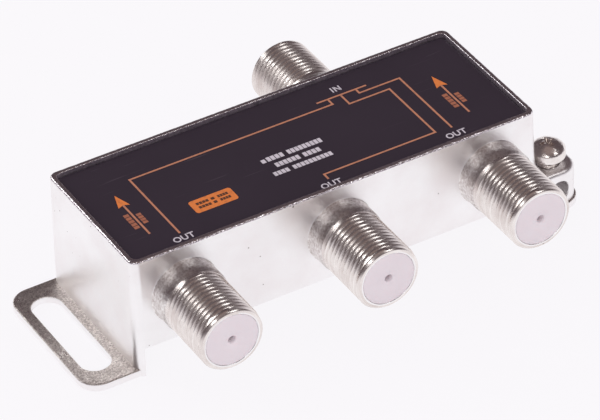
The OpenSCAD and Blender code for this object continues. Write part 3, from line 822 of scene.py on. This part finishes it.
# Three rows of white bars in the middle, then the letters
white_shapes = []
for y0, y1, runs in ((-1.17, -0.22, ((-5.3, -4.7), (-4.45, -1.85), (-1.3, 4.0))),
                     (-2.84, -1.9, ((-4.05, -0.3), (0.2, 2.85))),
                     (-4.45, -3.6, ((-5.25, -2.85), (-2.3, 3.72)))):
    for x0, x1 in runs:
        white_shapes += bars(x0, y0, x1, y1, max(1, round((x1 - x0) / bar_pitch)))
# Each letter is its advance and its strokes, as points in millimetres.
oval = [(0.55 + 0.45 * math.sin(t), 0.56 + 0.47 * math.cos(t))
        for t in np.radians(range(0, 361, 24))]
letters = {
    "I": (0.45, [[(0.1, 0), (0.1, 1.12)]]),
    "N": (1.0, [[(0.1, 0), (0.1, 1.12)], [(0.14, 1.08), (0.81, 0.04)], [(0.85, 0), (0.85, 1.12)]]),
    "O": (1.2, [oval]),
    "U": (0.98, [[(0.1, 1.12), (0.1, 0.4), (0.2, 0.17), (0.45, 0.08), (0.7, 0.17), (0.8, 0.4),
                  (0.8, 1.12)]]),
    "T": (1.0, [[(0, 1.03), (0.9, 1.03)], [(0.45, 0.94), (0.45, 0)]]),
}
for word, x, y in (("IN", 10.7, 7.65), ("OUT", -23.4, -10.0), ("OUT", -1.45, -10.45),
                   ("OUT", 18.15, -9.9)):
    for letter in word:
        advance, paths = letters[letter]
        for path in paths:
            white_shapes.append(stroke([(x + px, y + py) for px, py in path], letter_w))
        x += advance
for name, ink, colour, low_z, shapes in (
        ("print_lines", "salmon_screen_ink", "#C17F61", plate_z, line_shapes),
        ("print_solids", "orange_screen_ink", "#E27D37", plate_z, solid_shapes),
        ("print_field", "brown_screen_ink", "#5C3A2A", plate_z + ink_t, field_shapes),
        ("print_words", "thin_orange_screen_ink", "#A9664B", plate_z, faded_shapes),
        ("print_white", "white_screen_ink", "#D0C7CF", plate_z, white_shapes)):
    verts = []
    faces = []
    for shape in shapes:
        low = len(verts)
        count = len(shape)
        verts += [(x * MM, y * MM, low_z * MM) for x, y in shape]
        verts += [(x * MM, y * MM, (low_z + ink_t) * MM) for x, y in shape]
        faces.append(tuple(range(low + count, low + 2 * count)))
        faces += [(low + i, low + (i + 1) % count, low + count + (i + 1) % count, low + count + i)
                  for i in range(count)]
        faces.append(tuple(reversed(range(low, low + count))))
    mesh = bpy.data.meshes.new(name)
    mesh.from_pydata(verts, [], faces)
    printed = bpy.data.objects.new(name, mesh)
    bpy.context.scene.collection.objects.link(printed)
    # The ink is matter than the coated plate, and the plum shows through where it is thin.
    material, tree, shader = start_material(ink)
    place = add_node(tree, "ShaderNodeTexCoord").outputs["Object"]
    thin = add_node(tree, "ShaderNodeTexNoise", None, {
        "Vector": place, "Scale": per_mm(0.5), "Detail": 3.0})
    show_through = add_node(tree, "ShaderNodeMapRange", None, {
        "Value": thin.outputs["Fac"], "From Min": 0.5, "From Max": 0.8, "To Max": 0.35})
    tone = add_node(tree, "ShaderNodeMix", {"data_type": "RGBA"}, {
        "Factor": show_through.outputs["Result"], 6: linear(colour), 7: linear("#3A2F38")})
    tree.links.new(tone.outputs[2], shader.inputs["Base Color"])
    shader.inputs["Roughness"].default_value = 0.45
    mesh.materials.append(material)
    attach(printed, "root")

# Ground screw
# A cold-headed steel screw, nickel plated, with a low dome, a cross recess that narrows
# downward, and a rolled M3 thread. It stands loose in its post, ready for a ground wire.
screw_z = 7.6
screw_r = 1.5
screw_l = 2.6
screw_pitch = 0.5
screw_cut = 0.26        # depth of the thread
screw_flat = 0.1        # share of the crest that stays flat
tip_r = 1.2
tip_slope = 1.5
head_r = 2.5
head_side = 1.3
head_dome = 1.2
head_top = head_side + head_dome
dome_r = (head_r ** 2 + head_dome ** 2) / (2 * head_dome)
worn_edge = 0.06
screw_columns = 72
screw_around = np.linspace(0, 2 * math.pi, screw_columns, endpoint=False)


def screw_ring(r, h):
    """Ring round the screw's axis, h above the underside of its head."""
    r = r + 0 * screw_around
    return np.stack([slot_x + r * np.cos(screw_around), screw_y + r * np.sin(screw_around),
                     screw_z + h + 0 * screw_around], axis=1)


rings = [screw_ring(0.9, -screw_l), screw_ring(1.15, -screw_l + 0.05)]
for h in np.arange(-screw_l + 0.1, -0.12, screw_pitch / 10):
    turns = h / screw_pitch - screw_around / (2 * math.pi)
    across = np.abs(turns - np.round(turns)) * 2
    cut = screw_cut * np.clip((1 + screw_flat) * across - screw_flat, 0, 1)
    tip = tip_r + (h + screw_l) * tip_slope
    rings.append(screw_ring(np.minimum(screw_r - cut, tip), h))
head_profile = [(1.35, -0.06), (1.5, 0.0), (2.3, 0.0), (2.42, 0.04), (2.48, 0.12), (head_r, 0.24),
                (head_r, head_side - 0.16), (2.47, head_side - 0.03), (2.4, head_side + 0.09)]
rings += [screw_ring(r, h) for r, h in head_profile]
for r in (2.25, 2.05, 1.8, 1.5, 1.2, 0.9, 0.6, 0.3):
    rings.append(screw_ring(r, head_top - dome_r + math.sqrt(dome_r ** 2 - r ** 2)))
screw = ring_solid("ground_screw_headed", rings)


def cross_ring(width, length, h):
    """Outline of the cross recess at one height."""
    w = width / 2
    e = length / 2
    flat = [(e, -w), (e, w), (w, w), (w, e), (-w, e), (-w, w), (-e, w), (-e, -w), (-w, -w),
            (-w, -e), (w, -e), (w, -w)]
    return [(slot_x + x, screw_y + y, screw_z + h) for x, y in flat]


cross = ring_solid("cross", [cross_ring(0.4, 0.9, head_top - 1.1),
                             cross_ring(0.6, 2.2, head_top - 0.3),
                             cross_ring(0.8, 3.0, head_top + 0.3)])
combine(screw, cross, "DIFFERENCE")
soften = screw.modifiers.new("worn_edges", "BEVEL")
soften.width = worn_edge * MM
soften.segments = 2
soften.limit_method = "ANGLE"
soften.angle_limit = math.radians(40)
# A warm mirror, dulled in clouds by handling and shallowly dented by the heading die.
material, tree, shader = start_material("nickel_plated_cold_headed_steel")
place = add_node(tree, "ShaderNodeTexCoord").outputs["Object"]
tarnish = add_node(tree, "ShaderNodeTexNoise", None, {
    "Vector": place, "Scale": per_mm(1.2), "Detail": 4.0})
tone = add_node(tree, "ShaderNodeMix", {"data_type": "RGBA"}, {
    "Factor": tarnish.outputs["Fac"], 6: linear("#FFFCFA"), 7: linear("#E4DAD4")})
gloss = add_node(tree, "ShaderNodeMapRange", None, {
    "Value": tarnish.outputs["Fac"], "To Min": 0.14, "To Max": 0.3})
dents = add_node(tree, "ShaderNodeTexNoise", None, {
    "Vector": place, "Scale": per_mm(0.5), "Detail": 2.0})
bump = add_node(tree, "ShaderNodeBump", None, {
    "Strength": 1.0, "Distance": 0.06 * MM, "Height": dents.outputs["Fac"]})
tree.links.new(tone.outputs[2], shader.inputs["Base Color"])
tree.links.new(gloss.outputs["Result"], shader.inputs["Roughness"])
tree.links.new(bump.outputs["Normal"], shader.inputs["Normal"])
shader.inputs["Metallic"].default_value = 1.0
screw.data.materials.append(material)
apply_modifiers(screw)
screw.data.shade_smooth()
screw.data.set_sharp_from_angle(angle=math.radians(35))
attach(screw, "root")
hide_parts("ground_screw")

# Studio
# The splitter lies on a plain white paper sweep that ends a little way to its left and front,
# in a dim room with three soft lamps. The paper is matt, and shows only the object's shadow: to
# the camera and in mirrors most of its light is an even glow.
floor_near = -0.13      # metres
floor_far = 0.6
glow_share = 0.94
floor_mesh = bpy.data.meshes.new("studio_floor")
floor_mesh.from_pydata([(floor_near, floor_near, 0), (floor_far, floor_near, 0),
                        (floor_far, floor_far, 0), (floor_near, floor_far, 0)], [],
                       [(0, 1, 2, 3)])
floor = bpy.data.objects.new("studio_floor", floor_mesh)
bpy.context.scene.collection.objects.link(floor)
floor_paper, tree, shader = start_material("white_paper_sweep")
shader.inputs["Base Color"].default_value = linear("#F4F2F4")
shader.inputs["Roughness"].default_value = 0.9
path_kind = add_node(tree, "ShaderNodeLightPath")
seen_or_mirrored = add_node(tree, "ShaderNodeMath", {"operation": "MAXIMUM"}, {
    0: path_kind.outputs["Is Camera Ray"], 1: path_kind.outputs["Is Glossy Ray"]})
any_view = add_node(tree, "ShaderNodeMath", {"operation": "MAXIMUM"}, {
    0: seen_or_mirrored.outputs[0], 1: path_kind.outputs["Is Transmission Ray"]})
share = add_node(tree, "ShaderNodeMath", {"operation": "MULTIPLY"}, {
    0: any_view.outputs[0], 1: glow_share})
glow = add_node(tree, "ShaderNodeEmission", None, {"Color": linear("#FBF9FC"), "Strength": 1.0})
blend = add_node(tree, "ShaderNodeMixShader", None, {
    0: share.outputs[0], 1: shader.outputs[0], 2: glow.outputs[0]})
tree.links.new(blend.outputs[0], tree.nodes["Material Output"].inputs["Surface"])
floor_mesh.materials.append(floor_paper)

# The room is pale low down, dark higher up and a little lighter at the ceiling, so the bright
# metal shows white where it faces the floor and brown-grey where it faces up.
world = bpy.data.worlds.new("studio_room")
bpy.context.scene.world = world
world.use_nodes = True
tree = world.node_tree
room_way = add_node(tree, "ShaderNodeTexCoord").outputs["Generated"]
way_up = add_node(tree, "ShaderNodeVectorMath", {"operation": "DOT_PRODUCT"}, {
    0: room_way, 1: (-0.08, 0.06, 1.0)})
climb = add_node(tree, "ShaderNodeMapRange", {"interpolation_type": "SMOOTHSTEP"}, {
    "Value": way_up.outputs["Value"], "From Min": -0.08, "From Max": 0.2})
overhead = add_node(tree, "ShaderNodeVectorMath", {"operation": "DOT_PRODUCT"}, {
    0: room_way, 1: (0.0, -0.2, 0.98)})
ceiling_share = add_node(tree, "ShaderNodeMapRange", None, {
    "Value": overhead.outputs["Value"], "From Min": 0.78, "From Max": 0.98})
room = add_node(tree, "ShaderNodeMix", {"data_type": "RGBA"}, {
    "Factor": ceiling_share.outputs["Result"], 6: linear("#584D50"), 7: linear("#8C7C79")})
sky = add_node(tree, "ShaderNodeMix", {"data_type": "RGBA"}, {
    "Factor": climb.outputs["Result"], 6: linear("#E9E4EA"), 7: room.outputs[2]})
path_kind = add_node(tree, "ShaderNodeLightPath")
lit = add_node(tree, "ShaderNodeMix", {"data_type": "RGBA"}, {
    "Factor": path_kind.outputs["Is Diffuse Ray"], 6: sky.outputs[2], 7: linear("#DFDCE0")})
backdrop = add_node(tree, "ShaderNodeMix", {"data_type": "RGBA"}, {
    "Factor": path_kind.outputs["Is Camera Ray"], 6: lit.outputs[2], 7: linear("#FBF9FC")})
tree.links.new(backdrop.outputs[2], tree.nodes["Background"].inputs["Color"])

# The lamps draw the bright lines along the threads. Each row is a lamp's name, degrees from the
# front to the right and up, watts, length and width in metres, and roll in degrees.
lamp_distance = 0.6
for name, azimuth, elevation, power, length, width, roll in (
        ("key_lamp", -34, 37, 0.33, 0.28, 0.075, -42), ("side_lamp", 40, 45, 0.22, 0.2, 0.09, 62),
        ("rear_lamp", -147, 34, 0.68, 0.27, 0.22, 0)):
    lamp = bpy.data.lights.new(name, "AREA")
    lamp.energy = power
    lamp.shape = "RECTANGLE"
    lamp.size = length
    lamp.size_y = width
    turn = math.radians(azimuth)
    rise = math.radians(elevation)
    level = math.cos(rise)
    way = Vector((math.sin(turn) * level, -math.cos(turn) * level, math.sin(rise)))
    holder = bpy.data.objects.new(name, lamp)
    aimed = way.to_track_quat("Z", "Y").to_matrix().to_4x4()
    rolled = Matrix.Rotation(math.radians(roll), 4, "Z")
    holder.matrix_world = Matrix.Translation(way * lamp_distance) @ aimed @ rolled
    bpy.context.scene.collection.objects.link(holder)

# Camera
# A long lens from the front left and above, as in the photograph.
camera_data = bpy.data.cameras.new("camera")
camera_data.sensor_width = 36
camera_data.lens = 270.374
camera_data.clip_start = 0.01
camera = bpy.data.objects.new("camera", camera_data)
right = Vector((0.8632, -0.5034, -0.0366))
up = Vector((0.3290, 0.5062, 0.7972))
back = Vector((-0.3828, -0.7002, 0.6026))
turned = Matrix((right, up, back)).transposed().to_4x4()
camera.matrix_world = Matrix.Translation(Vector((-231.14, -423.88, 371.82)) * MM) @ turned
bpy.context.scene.collection.objects.link(camera)
bpy.context.scene.camera = camera
bpy.context.scene.view_settings.view_transform = "Standard"
